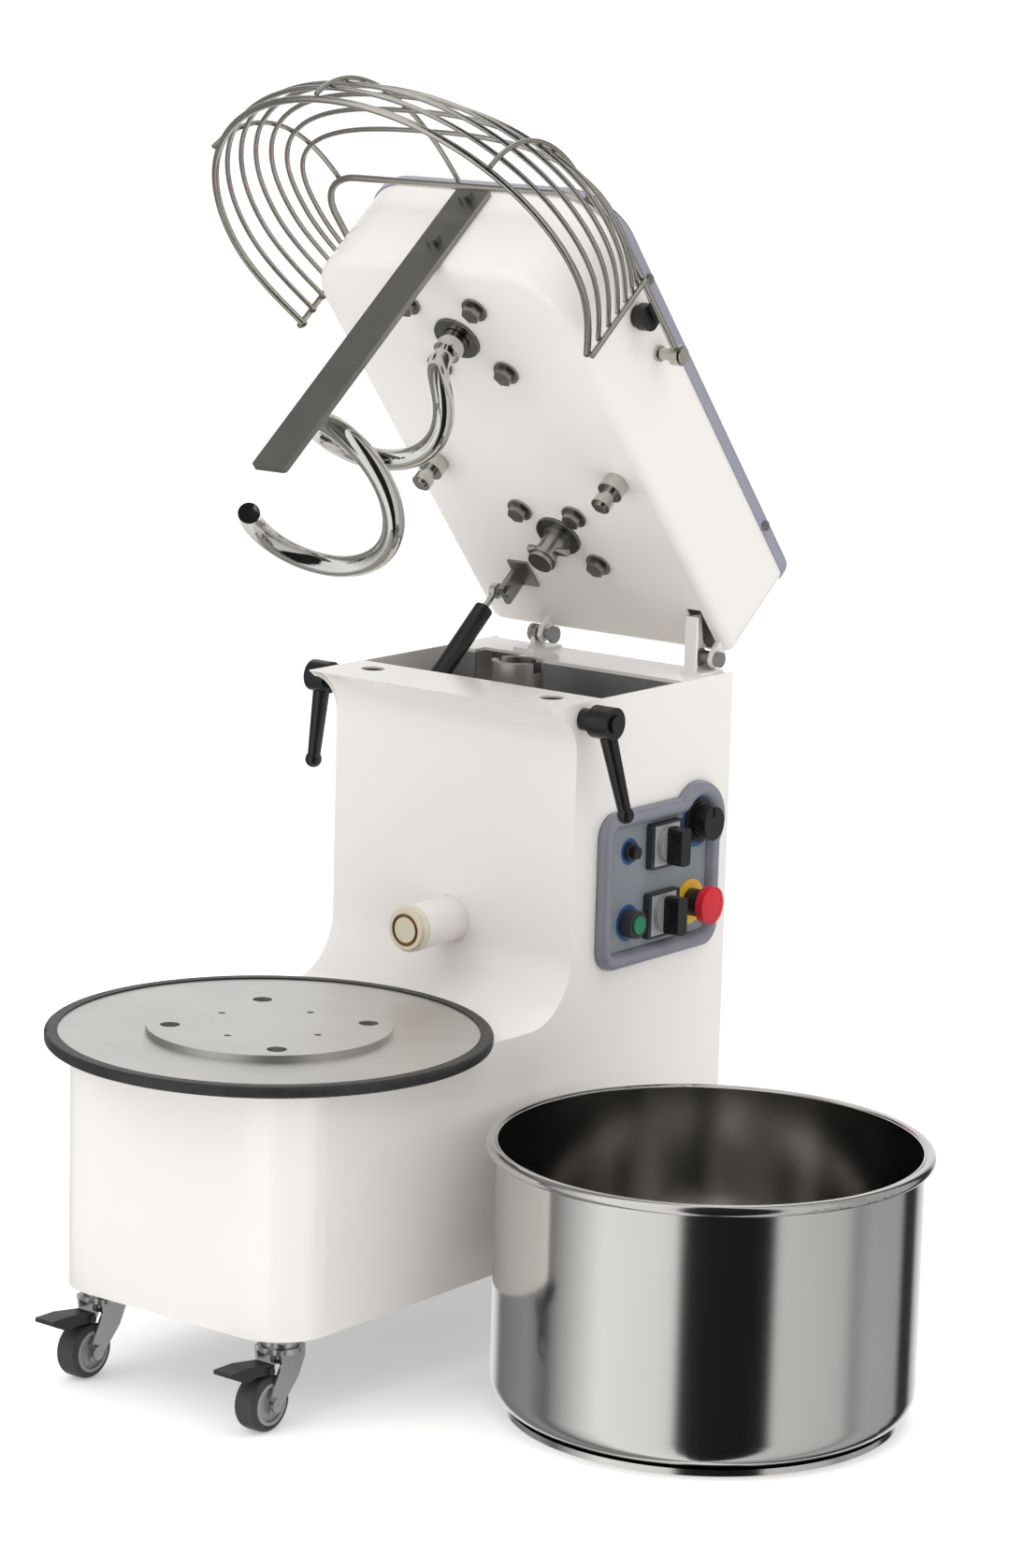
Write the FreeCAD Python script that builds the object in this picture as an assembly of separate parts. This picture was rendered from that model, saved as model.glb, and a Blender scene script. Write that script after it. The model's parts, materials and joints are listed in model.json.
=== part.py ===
"""Spiral dough mixer with a tilting head and a removable bowl, on castors.

Millimetres, Z up, +X to the operator's right (control panel side), -Y to the front (turntable end).
Everything is drawn about the turntable axis at floor level and moved at the end so that the origin is the
middle of the whole object's footprint. Head parts are drawn with the head closed and then swung open.
"""
import FreeCAD, Part
import os
from math import cos, sin, pi, radians, degrees, sqrt, atan2

Vec = FreeCAD.Vector
X, Y, Z = Vec(1, 0, 0), Vec(0, 1, 0), Vec(0, 0, 1)

# ---- driving dimensions -------------------------------------------------------------------------------
sheet = 2.0                 # painted steel sheet
gap = 0.3                   # clearance between pieces that move past each other
half_width = 151.0          # column and base, from the middle to the outside
base_front, base_rear = -146.0, 530.0
base_bottom, deck_z = 88.0, 320.0
base_corner = 54.0          # plan radius of the base's front corners
column_front, column_top = 271.0, 634.0
cove = 62.0                 # radius of the hollow bend between deck and column
lip_cove = 50.0             # radius of the flared lip under the ledge
ledge_rear = 311.0
hopper_rear = 447.0         # rear edge of the open top

turntable_r, turntable_top = 212.5, 335.0
edge_band = 12.5            # rubber edge, in plan
disc_thick = 10.0
centre_r, centre_thick = 117.0, 6.0

bowl_r, bowl_h, bowl_wall = 200.0, 260.0, 1.5
bowl_x, bowl_y = 380.0, 190.0
rim_bead = 5.5              # radius of the rolled rim

hinge_y, hinge_z = 510.0, 648.0
head_open = 50.6            # degrees from closed to fully raised
head_half, head_front, head_rear = 153.0, 9.0, 520.0
head_under, head_seam, head_top = 663.0, 772.0, 792.0
head_corner = 60.0
hook_y, coupling_y = 100.0, 370.0
hook_bar, hook_reach, hook_depth = 10.5, 62.0, 266.0
latch_x, latch_y = 112.0, 280.0
bar_end = 384.0             # lower end of the breaker bar with the head closed
bar_bolt_heights = (754.0, 692.0)
washer_r, washer_thick = 13.5, 2.5
bearing_nose_r = 24.5       # what shows of the two bearing flanges under the head

spring_x = -98.0            # gas spring: its plane, its foot inside the column, its body length
spring_foot = (300.0, 560.0)
spring_body = 130.0

wheel_r, wheel_w = 27.0, 24.0
castor_x, castor_front, castor_rear, castor_trail = 112.0, -108.0, 470.0, 25.0

shift = Vec(-188.7, -205.6, 0)    # turntable axis to the middle of the footprint
parts = {}


# ---- small shape tools --------------------------------------------------------------------------------
def box(x0, x1, y0, y1, z0, z1):
    return Part.makeBox(x1 - x0, y1 - y0, z1 - z0, Vec(x0, y0, z0))


def rod(start, along, radius, length):
    return Part.makeCylinder(radius, length, Vec(*start), along)


def ring(start, along, outer, inner, length):
    return rod(start, along, outer, length).cut(rod(start, along, inner, length))


def rounded_box(x0, x1, y0, y1, z0, z1, radius, along=Z):
    """A box with the four edges that run along one axis rounded."""
    solid = box(x0, x1, y0, y1, z0, z1)
    edges = [e for e in solid.Edges if abs(abs(e.tangentAt(e.FirstParameter).dot(along)) - 1) < 1e-6]
    return solid.makeFillet(radius, edges)


def prism(outline, x0, x1):
    """A solid with a (y, z) outline, from x0 to x1. An item is a point, or from the second on an arc's three points."""
    edges, last = [], None
    for item in outline + outline[:1]:
        points = [Vec(x0, *p) for p in (item if isinstance(item[0], tuple) else (item,))]
        if last is not None and (points[0] - last).Length > 1e-6:
            edges.append(Part.LineSegment(last, points[0]).toShape())
        if len(points) == 3:
            edges.append(Part.Arc(*points).toShape())
        last = points[-1]
    return Part.Face(Part.Wire(edges)).extrude(Vec(x1 - x0, 0, 0))


def arc(cy, cz, radius, start, end):
    """First, middle and last point of an arc in the (y, z) plane, degrees from +Y towards +Z."""
    steps = [radians(a) for a in (start, (start + end) / 2, end)]
    return tuple((cy + radius * cos(a), cz + radius * sin(a)) for a in steps)


def disc_stack(centre, along, steps):
    """Coaxial discs: a list of (radius, length) from the start point on, as one solid."""
    at, solid = Vec(*centre), None
    for radius, length in steps:
        piece = Part.makeCylinder(radius, length, at, along)
        solid = piece if solid is None else solid.fuse(piece)
        at = at + along * length
    return solid.removeSplitter()


def wire_through(points, radius, closed=False):
    """A round wire along a smooth curve through the points."""
    curve = Part.BSplineCurve()
    curve.interpolate([Vec(*p) for p in points], PeriodicFlag=closed)
    path = Part.Wire(curve.toShape())
    start, tangent = curve.value(curve.FirstParameter), curve.tangent(curve.FirstParameter)[0]
    section = Part.Wire(Part.makeCircle(radius, start, tangent))
    return path.makePipeShell([section], True, True)


def straight_wire(start, end, radius):
    start, end = Vec(*start), Vec(*end)
    return Part.makeCylinder(radius, (end - start).Length, start, end - start)


def hex_bolt(under_head, along, across, head, shank_r, shank):
    """A hexagon bolt: its head stands on the point, its shank goes the other way."""
    point = Vec(*under_head)
    side = X if abs(along.dot(X)) < 0.9 else Y
    other = along.cross(side)
    corner = across / sqrt(3)
    ring_points = [point + side * (corner * cos(radians(60 * i))) + other * (corner * sin(radians(60 * i)))
                   for i in range(7)]
    hexagon = Part.Face(Part.makePolygon(ring_points)).extrude(along * head)
    return hexagon.fuse(Part.makeCylinder(shank_r, shank, point, along * -1)).removeSplitter()


def sprocket(centre, teeth, tip_r, thick, bore_r):
    """A chain wheel: short teeth on a disc, bored for its shaft."""
    x, y, z = centre
    root_r = tip_r - 3.0
    outline = []
    for i in range(teeth):
        for offset, radius in ((-0.30, root_r), (-0.12, tip_r), (0.12, tip_r), (0.30, root_r)):
            a = 2 * pi * (i + offset) / teeth
            outline.append(Vec(x + radius * cos(a), y + radius * sin(a), z))
    wheel = Part.Face(Part.makePolygon(outline + outline[:1])).extrude(Vec(0, 0, thick))
    return wheel.cut(rod((x, y, z - 1), Z, bore_r, thick + 2))


def loop_outline(a, ra, b, rb, z):
    """A closed belt line round two wheels, centres a and b in plan, at height z."""
    ax, ay = a
    bx, by = b
    span = sqrt((bx - ax) ** 2 + (by - ay) ** 2)
    direction = atan2(by - ay, bx - ax)
    lean = pi / 2 + atan2(rb - ra, sqrt(span ** 2 - (rb - ra) ** 2))

    def on(cx, cy, r, angle):
        return Vec(cx + r * cos(angle), cy + r * sin(angle), z)

    a1, a2 = on(ax, ay, ra, direction + lean), on(ax, ay, ra, direction - lean)
    b1, b2 = on(bx, by, rb, direction + lean), on(bx, by, rb, direction - lean)
    edges = [Part.Arc(a2, on(ax, ay, ra, direction + pi), a1).toShape(), Part.LineSegment(a1, b1).toShape(),
             Part.Arc(b1, on(bx, by, rb, direction), b2).toShape(), Part.LineSegment(b2, a2).toShape()]
    return Part.Wire(edges)


def chain_loop(a, ra, b, rb, z, thick, height):
    """A roller chain drawn as a closed band just outside the tips of its two wheels."""
    outer = Part.Face(loop_outline(a, ra + gap + thick, b, rb + gap + thick, z)).extrude(Vec(0, 0, height))
    inner = Part.Face(loop_outline(a, ra + gap, b, rb + gap, z)).extrude(Vec(0, 0, height))
    return outer.cut(inner)


def swing_open(shape):
    """Turns a piece drawn with the head closed to where it is with the head raised."""
    turned = shape.copy()
    turned.rotate(Vec(0, hinge_y, hinge_z), X, -head_open)
    return turned


def add(name, *shapes):
    parts[name] = list(shapes)


def add_head(name, *shapes):
    parts[name] = [swing_open(s) for s in shapes]


# ---- base and column casing: folded and painted sheet -----------------------------------------------------
deck_under = deck_z - sheet


def side_outline():
    """Side view of the base and column, following the cove and the flared lip."""
    cove_y, cove_z = column_front - cove, deck_z + cove
    lip_y, lip_z = column_front - lip_cove, column_top - lip_cove
    points = [(base_rear, base_bottom), (base_rear, column_top), (lip_y + 6, column_top)]
    points += [arc(lip_y + 6, lip_z, lip_cove - 6, 78, 0), (column_front, lip_z - 1),
               arc(cove_y, cove_z, cove, 0, -90)]
    points += [(base_front + base_corner, deck_z), (base_front + base_corner, base_bottom)]
    return points


def make_casing():
    outline = side_outline()
    for name, outside in (("side_panel_left", -half_width), ("side_panel_right", half_width)):
        inside = outside - sheet if outside > 0 else outside + sheet
        panel = prism(outline, min(outside, inside), max(outside, inside))
        panel = panel.cut(rod((outside - 4, latch_y, 618), X, 7.1, 8))      # clamp spindle hole
        if outside > 0:                                                     # cut-out behind the control plate
            panel = panel.cut(rounded_box(outside - 4, outside + 4, 345, 490, 385, 500, 10, X))
        flange = box(min(inside, inside - 14 * (1 if outside > 0 else -1)),
                     max(inside, inside - 14 * (1 if outside > 0 else -1)), base_rear - 8, base_rear - 6, 100, 620)
        add(name, panel.fuse(flange).removeSplitter())

    # deck, cove, column front, flared lip and ledge are one long folded sheet between the side panels
    inner = half_width - sheet
    cove_y, cove_z = column_front - cove, deck_z + cove
    lip_y, lip_z = column_front - lip_cove, column_top - lip_cove
    line = [(base_front + 1, deck_z), arc(cove_y, cove_z, cove, -90, 0), arc(lip_y, lip_z, lip_cove, 0, 84)]
    back = [(ledge_rear, column_top - 40), (ledge_rear, column_top), (lip_y + 5, column_top)]
    inside = [(ledge_rear - sheet, column_top - 40), (ledge_rear - sheet, column_top - sheet),
              (lip_y + 22, column_top - sheet)]
    inside += [arc(lip_y, lip_z, lip_cove + sheet, 66, 0), arc(cove_y, cove_z, cove + sheet, 0, -90)]
    inside += [(base_front + 1, deck_under)]
    skin = prism(line + back[::-1] + inside, -inner, inner)
    front_wall = rounded_box(-inner, inner, base_front + sheet, base_front + 600, deck_under - 1, column_top + 1,
                             base_corner - sheet)
    skin = skin.common(front_wall)
    skin = skin.cut(rod((0, 0, deck_under - 5), Z, 60, 12))
    for side in (-1, 1):
        skin = skin.cut(rod((side * latch_x, latch_y, column_top - 10), Z, 12, 20))
    skin = skin.cut(rod((0, column_front - 5, 398), Y, 23.2, 12))
    add("front_skin", skin)

    outer = rounded_box(-half_width, half_width, base_front, base_front + 400, base_bottom, deck_z, base_corner)
    hollow = rounded_box(-inner, inner, base_front + sheet, base_front + 402, base_bottom - 1, deck_under,
                         base_corner - sheet)
    top_hole = rounded_box(-inner, inner, base_front + sheet, base_front + 400, deck_under - 1, deck_z + 1,
                           base_corner - sheet)
    wrap = outer.cut(hollow).cut(top_hole).common(box(-200, 200, -200, base_front + base_corner, 0, 400))
    add("base_front_wrap", wrap)

    back = box(-inner + 0.5, inner - 0.5, base_rear - 6, base_rear - 4, 92, column_top - 6)
    for row in range(7):                                                    # louvres for the motor's air
        z = 170 + row * 18
        back = back.cut(box(-60, 60, base_rear - 8, base_rear, z, z + 5))
        back = back.fuse(prism([(base_rear - 4, z + 5), (base_rear - 4, z + 7), (base_rear + 1, z + 1),
                                (base_rear, z)], -60, 60))
    back = back.cut(rod((90, base_rear - 10, 130), Y, 8.1, 12))
    add("rear_cover", back.removeSplitter())

    floor = rounded_box(-inner + 0.5, inner - 0.5, base_front + sheet + 0.5, base_front + 500,
                        base_bottom, base_bottom + 3, base_corner - 3)
    floor = floor.fuse(box(-inner + 0.5, inner - 0.5, 200, base_rear - 8.5, base_bottom, base_bottom + 3))
    add("bottom_plate", floor.removeSplitter())

    deck = box(-inner + 0.3, inner - 0.3, hopper_rear, base_rear - 8.3, column_top - 3, column_top)
    lip = box(-inner + 0.3, inner - 0.3, hopper_rear, hopper_rear + sheet, column_top - 40, column_top - 3)
    notch = box(spring_x - 16, spring_x + 40, hopper_rear - 1, hopper_rear + 17, column_top - 45, column_top + 1)
    add("rear_deck", deck.fuse(lip).cut(notch).removeSplitter())


# ---- hinge: two brackets on the rear deck, ears on the head, two pins -----------------------------------------
def make_hinge():
    post = prism([(485, column_top), (520, column_top), (520, 650), (513, 660), (508, 692), (486, 692),
                  (485, 680)], 122, 136)
    post = post.cut(box(125, 137, 488, 517, column_top + 3, 700))
    left = prism([(500, column_top), (520, column_top), (518, hinge_z + 4), (510, hinge_z + 9),
                  (502, hinge_z + 4)], -84, -79)
    left_foot = box(-84, -58, 472, 520, column_top, column_top + 3)
    right_foot = box(122, 146, 480, 520, column_top, column_top + 3)
    bore_left = rod((-90, hinge_y, hinge_z), X, 5.0, 16)
    bore_right = rod((118, hinge_y, hinge_z), X, 5.0, 20)
    pin_left = disc_stack((-89, hinge_y, hinge_z), X, [(9, 5), (5, 21), (9, 4)])
    pin_right = disc_stack((119, hinge_y, hinge_z), X, [(8, 3), (5, 23.5), (8, 4)])
    add("hinge_brackets", left.fuse(left_foot).cut(bore_left).removeSplitter(),
        post.fuse(right_foot).cut(bore_right).removeSplitter(), pin_left, pin_right)


# ---- castors: plate and kingpin, fork, wheel, brake pedal ------------------------------------------------------
castors = {"front_left": (-castor_x, castor_front), "front_right": (castor_x, castor_front),
           "rear_left": (-castor_x, castor_rear), "rear_right": (castor_x, castor_rear)}


def make_castors():
    plates = []
    for name, (x, y) in castors.items():
        plate = box(x - 22, x + 22, y - 22, y + 22, base_bottom - 3, base_bottom)
        race = rod((x, y, base_bottom - 11), Z, 18, 8)
        kingpin = rod((x, y, base_bottom - 24), Z, 5, 13)
        nut = rod((x, y, base_bottom - 28), Z, 9, 4)
        plates.append(plate.fuse(race).fuse(kingpin).fuse(nut).removeSplitter())

        axle_y, axle_z = y - castor_trail, wheel_r
        crown_top = base_bottom - 11 - gap
        crown = ring((x, y, crown_top - 5), Z, 21, 5.05, 5)
        legs = []
        for side in (-1, 1):
            inner = side * (wheel_w / 2 + 1.5)
            outer = side * (wheel_w / 2 + 4)
            leg = prism([(y + 17, crown_top), (y + 17, crown_top - 12), (y + 8, crown_top - 30),
                         (axle_y + 7, axle_z - 7), (axle_y - 7, axle_z - 7), (axle_y - 8, axle_z + 4),
                         (y - 16, crown_top - 14), (y - 18, crown_top)],
                        x + min(inner, outer), x + max(inner, outer))
            legs.append(leg)
        bridge = box(x - wheel_w / 2 - 4, x + wheel_w / 2 + 4, y - 18, y + 17, crown_top - 5, crown_top)
        fork = crown.fuse(legs + [bridge.cut(rod((x, y, 0), Z, 10, 200))])
        axle = rod((x - wheel_w / 2 - 7, axle_y, axle_z), X, 4, wheel_w + 14)
        heads = [rod((x - wheel_w / 2 - 8, axle_y, axle_z), X, 7, 4),
                 rod((x + wheel_w / 2 + 4, axle_y, axle_z), X, 7, 4)]
        fork = fork.cut(rod((x, y, crown_top - 40), Z, 10, 35)).fuse([axle] + heads).removeSplitter()
        add("castor_fork_" + name, fork)

        tyre = rod((x - wheel_w / 2, axle_y, axle_z), X, wheel_r, wheel_w)
        tyre = tyre.makeFillet(5, [e for e in tyre.Edges if abs(e.Length - 2 * pi * wheel_r) < 0.01])
        hub_r = wheel_r - 7
        hub = ring((x - wheel_w / 2 - 0.8, axle_y, axle_z), X, hub_r, 4.05, wheel_w + 1.6)
        groove = [ring((x + s, axle_y, axle_z), X, hub_r - 3, 8, 3) for s in (-wheel_w / 2 - 1, wheel_w / 2 - 2)]
        tyre = tyre.cut(rod((x - 20, axle_y, axle_z), X, hub_r, 40))
        add("castor_wheel_" + name, tyre, hub.cut(groove[0]).cut(groove[1]))

        if name.startswith("front"):
            top = axle_z + wheel_r + 3
            pedal = prism([(axle_y + 6, top - 2), (axle_y + 4, top + 7), (axle_y - 30, top + 12),
                           (axle_y - 55, top + 12), (axle_y - 55, top + 8), (axle_y - 34, top - 2),
                           (axle_y - 20, top)], x - 11, x + 11)
            pivot = rod((x - wheel_w / 2 - 1.2, axle_y - 1, top + 2), X, 4, wheel_w + 2.4)
            add("brake_pedal_" + name, pedal.fuse(pivot).removeSplitter())
    add("castor_plates", *plates)


# ---- turntable and the drive inside the base and column --------------------------------------------------------
motor_x, motor_y = 48.0, 452.0
upper_chain_z, base_chain_z, head_chain_z = 540.0, 150.0, 700.0


def make_turntable():
    top = turntable_top
    disc = rod((0, 0, top - 8), Z, turntable_r - edge_band, 8)
    for angle in (45, 135, 225, 315):
        disc = disc.cut(rod((94 * cos(radians(angle)), 94 * sin(radians(angle)), top - 10), Z, 9.5, 12))
    profile_r = turntable_r - edge_band
    edge = ring((0, 0, top - disc_thick + 0.5), Z, turntable_r, profile_r, disc_thick + 1)
    rim_edges = [e for e in edge.Edges if abs(e.Length - 2 * pi * turntable_r) < 0.01]
    add("turntable_edge", edge.makeFillet(3.5, rim_edges))
    centre = rod((0, 0, top), Z, centre_r, centre_thick)
    for angle in (45, 135, 225, 315):
        centre = centre.cut(rod((94 * cos(radians(angle)), 94 * sin(radians(angle)), top - 1), Z, 9.5, 12))
    for angle in (0, 90, 180, 270):
        centre = centre.cut(rod((60 * cos(radians(angle)), 60 * sin(radians(angle)), top + 3), Z, 3.5, 5))
    add("turntable_disc", disc, centre)

    shaft = disc_stack((0, 0, 98), Z, [(17.5, top - 8 - 12 - 98), (45, 12)])
    wheel = sprocket((0, 0, base_chain_z), 72, 120, 8, 17.5)
    add("turntable_shaft", shaft, wheel)


def make_drive():
    column = (0, coupling_y)
    motor = (motor_x, motor_y)
    shaft = rod((0, coupling_y, 98), Z, 12.5, 512)
    small = sprocket((0, coupling_y, base_chain_z), 11, 20, 8, 12.5)
    large = sprocket((0, coupling_y, upper_chain_z), 36, 48, 8, 12.5)
    socket = rod((0, coupling_y, 600), Z, 26, 46)
    socket = socket.cut(rod((0, coupling_y, 618), Z, 19, 40)).cut(rod((0, coupling_y, 599), Z, 12.5, 11))
    socket = socket.cut(box(-30, 30, coupling_y - 6.5, coupling_y + 6.5, 634, 650))
    add("column_shaft", shaft, small, large, socket)

    body = rod((motor_x, motor_y, 190), Z, 62, 180)
    fins = []
    for i in range(24):
        a = 2 * pi * i / 24
        fin = box(58, 68, -1.2, 1.2, 200, 350)
        fin.rotate(Vec(0, 0, 0), Z, degrees(a))
        fin.translate(Vec(motor_x, motor_y, 0))
        fins.append(fin)
    cowl = rod((motor_x, motor_y, 160), Z, 66, 34)
    cowl = cowl.cut(rod((motor_x, motor_y, 155), Z, 40, 12))
    gear_unit = rounded_box(motor_x - 55, motor_x + 55, motor_y - 55, motor_y + 55, 370, 470, 12)
    terminal = box(motor_x - 30, motor_x + 30, motor_y + 55, motor_y + 70, 250, 310)
    bore = rod((motor_x, motor_y, 460), Z, 10.05, 20)
    add("gearmotor", body.fuse(fins + [cowl, gear_unit, terminal]).cut(bore).removeSplitter())
    output = disc_stack((motor_x, motor_y, 462), Z, [(10, 100)])
    add("motor_sprocket", output, sprocket((motor_x, motor_y, upper_chain_z), 17, 24, 8, 10))

    add("drive_chains", chain_loop(motor, 24, column, 48, upper_chain_z + 1, 5, 6),
        chain_loop(column, 20, (0, 0), 120, base_chain_z + 1, 5, 6))

    # cross plates folded from thick sheet carry the bearing units and the gearmotor
    inner = half_width - sheet
    brackets = []
    plate = box(-inner, inner, coupling_y - 45, 521, 470, 476)
    plate = plate.cut(rod((0, coupling_y, 470), Z, 20, 10)).cut(rod((motor_x, motor_y, 470), Z, 20, 10))
    plate = plate.cut(box(130, inner + 1, 340, 500, 465, 480))       # clear of the switches behind the panel
    brackets.append(plate)
    upper = box(-70, inner, coupling_y - 30, coupling_y + 30, 574, 579).cut(rod((0, coupling_y, 570), Z, 20, 12))
    brackets.append(upper)
    lower = box(-60, 60, coupling_y - 50, coupling_y + 50, base_bottom + 3, base_bottom + 9)
    brackets.append(lower)
    tower = ring((0, 0, base_bottom + 3), Z, 60, 54, 40).fuse(ring((0, 0, base_bottom + 3), Z, 60, 17.55, 5))
    brackets.append(tower.removeSplitter())
    bridge = box(-inner, inner, -70, 70, 286, 292).cut(rod((0, 0, 280), Z, 26, 20))
    brackets.append(bridge)
    foot_y, foot_z = spring_foot
    anchor = box(-inner, spring_x - 5, foot_y - 12, foot_y + 12, foot_z - 4, foot_z + 4)
    anchor = anchor.fuse(disc_stack((spring_x - 8, foot_y, foot_z), X, [(7, 4), (4, 8), (6.5, 2)]))
    brackets.append(anchor.removeSplitter())
    add("drive_brackets", *brackets)

    bearings = []
    for z in (476, 579):
        unit = ring((0, coupling_y, z), Z, 34, 12.55, 12)
        bearings.append(unit)
    bearings.append(ring((0, coupling_y, base_bottom + 9), Z, 34, 12.55, 24))
    bearings.append(ring((0, 0, 268), Z, 46, 17.55, 18))
    bearings.append(ring((0, 0, 131 - 35), Z, 46, 17.55, 30))
    add("shaft_bearings", *bearings)


def make_fittings():
    tube = ring((0, 212, 398), Y, 23, 20.5, 62).fuse(ring((0, 252, 398), Y, 23, 8, 4))
    tube = tube.cut(rod((0, 242, 420), Z * -1, 3, 10))
    add("bumper_tube", tube.removeSplitter())
    nose = disc_stack((0, bowl_r + 0.6, 398), Y, [(20, 4), (22.8, 7.1), (20.3, 30)])
    nose = nose.cut(ring((0, bowl_r, 398), Y, 16, 13, 3.5))
    pin = rod((0, bowl_r + 1.5, 398), Y, 3, 3)
    add("bumper_nose", nose.fuse(pin).removeSplitter())
    body = disc_stack((90, base_rear - 8, 130), Y, [(11, 2), (8, 2), (11, 4), (9.5, 10)])
    add("cable_gland", body.cut(rod((90, base_rear - 10, 130), Y, 4.5, 30)))


# ---- control panel on the right-hand side ------------------------------------------------------------------------
panel_y0, panel_y1, panel_z0, panel_z1 = 309.0, 513.0, 360.0, 526.0
frame_w = 17.0              # width of the raised bezel
lobe_r = 41.0               # outside radius of the bezel's lobe round the timer
knob_centres = {"upper": (412.0, 476.0), "lower": (410.0, 406.0)}
timer_at = (472.0, 490.0)
black_at, green_at, stop_at = (358.0, 476.0), (358.0, 404.0), (462.0, 409.0)


def panel_face(grow, x0, x1):
    """The bezel's plan: a rounded rectangle with a round lobe at its upper rear corner for the timer."""
    plain = rounded_box(x0, x1, panel_y0 - grow, panel_y1 + grow, panel_z0 - grow, panel_z1 - 8 + grow,
                        max(8, 24 + grow), X)
    lobe = rod((x0, *timer_at), X, lobe_r + grow, x1 - x0)
    return plain.fuse(lobe).removeSplitter()


def make_controls():
    wall = half_width
    frame = panel_face(0, wall, wall + 8)
    for step in range(4):                                   # the front edge is rounded in four small steps
        frame = frame.fuse(panel_face(-0.35 * (step + 1) ** 2, wall + 8 + step, wall + 9 + step))
    window = panel_face(-frame_w, wall - 1, wall + 20)
    add("control_bezel", frame.cut(window))
    plate = panel_face(-frame_w - 0.2, wall, wall + 3)
    for y, z in (black_at, green_at, stop_at, timer_at) + tuple(knob_centres.values()):
        plate = plate.cut(rod((wall - 1, y, z), X, 8.6, 6))
    add("control_plate", plate)

    face = wall + 3
    plates = []
    for y, z in knob_centres.values():
        square = rounded_box(face, face + 7, y - 26, y + 26, z - 23, z + 23, 3, X)
        plates.append(square.cut(rod((face - 1, y, z), X, 5.1, 12)))
    plates.append(ring((face, green_at[0], green_at[1]), X, 14, 9.5, 14))
    plates.append(ring((face, black_at[0], black_at[1]), X, 9.5, 6.5, 5))
    plates.append(ring((face, timer_at[0], timer_at[1]), X, 22, 5.1, 3))
    add("control_escutcheons", *plates)

    for name, (y, z) in knob_centres.items():
        dial = disc_stack((face + 7 + gap, y, z), X, [(17, 5)])
        grip = rounded_box(face + 12 + gap, face + 30, y - 8, y + 8, z - 19, z + 19, 4, X)
        spindle = rod((wall - 15, y, z), X, 5, 26)
        add("cam_switch_" + name, dial.fuse([grip, spindle]).removeSplitter())
    y, z = timer_at
    timer = disc_stack((face + 3 + gap, y, z), X, [(20, 3), (17, 15)])
    timer = timer.fuse(rod((wall - 15, y, z), X, 5, 24)).removeSplitter()
    marker = box(face + 19, face + 22.3, y - 1.5, y + 1.5, z + 6, z + 17)
    add("timer_knob", timer.fuse(marker).removeSplitter())
    y, z = black_at
    add("black_button", disc_stack((wall - 12, y, z), X, [(4, 15 + 1), (6.2, 10)]))
    y, z = green_at
    add("green_button", disc_stack((wall - 12, y, z), X, [(4, 15 + 4), (9.2, 12)]))
    y, z = stop_at
    yellow = ring((face, y, z), X, 23, 8, 2)
    neck = ring((face + 2, y, z), X, 14, 8.1, 14)
    add("stop_collar", yellow.fuse(neck).removeSplitter())
    mushroom = disc_stack((wall - 12, y, z), X, [(4, 18), (8, 18), (19, 8)])
    dome = Part.makeSphere(34, Vec(wall + 32 - 27.5, y, z)).common(rod((wall + 31.9, y, z), X, 19, 20))
    add("stop_button", mushroom.fuse(dome).removeSplitter())


# ---- clamp levers on both sides of the ledge ---------------------------------------------------------------------
def make_clamps():
    for name, side in (("clamp_lever_left", -1), ("clamp_lever_right", 1)):
        out = X * side
        hub = disc_stack((side * (half_width + gap), latch_y, 618), out, [(11, 14), (16, 24), (9, 3)])
        spindle = Part.makeCylinder(7, 30, Vec(side * (half_width - 20), latch_y, 618), out)
        lean = Vec(side * 0.22, 0.12, -1).normalize()
        middle = Vec(side * (half_width + 26), latch_y, 618)
        arm = Part.makeCone(9, 6.5, 92, middle, lean)
        tip_at = middle + lean * 92
        tip = Part.makeSphere(8.5, tip_at)
        add(name, hub.fuse([spindle, arm, tip]).removeSplitter())


# ---- tilting head -------------------------------------------------------------------------------------------------
def head_block(inset, z0, z1, bottom_round):
    """The head's plan, larger radius at the front, with its lower edge rounded."""
    solid = box(-head_half + inset, head_half - inset, head_front + inset, head_rear - inset, z0, z1)
    upright = [e for e in solid.Edges if abs(abs(e.tangentAt(e.FirstParameter).z) - 1) < 1e-6]
    front = [e for e in upright if e.CenterOfMass.y < 200]
    solid = solid.makeFillet(head_corner - inset, front)
    rear = [e for e in solid.Edges if abs(abs(e.tangentAt(e.FirstParameter).z) - 1) < 1e-6
            and e.CenterOfMass.y > head_rear - inset - 1]
    solid = solid.makeFillet(14 - inset, rear)
    if bottom_round > 0:
        solid = solid.makeFillet(bottom_round, [e for e in solid.Edges if abs(e.CenterOfMass.z - z0) < 1e-6])
    return solid


def flange_bolt_places():
    near_hook = [(sx * 41, hook_y + sy * 41) for sx in (-1, 1) for sy in (-1, 1)]
    near_coupling = [(sx * 34, coupling_y + 2 + sy * 34) for sx in (-1, 1) for sy in (-1, 1)]
    return near_hook + near_coupling


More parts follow.
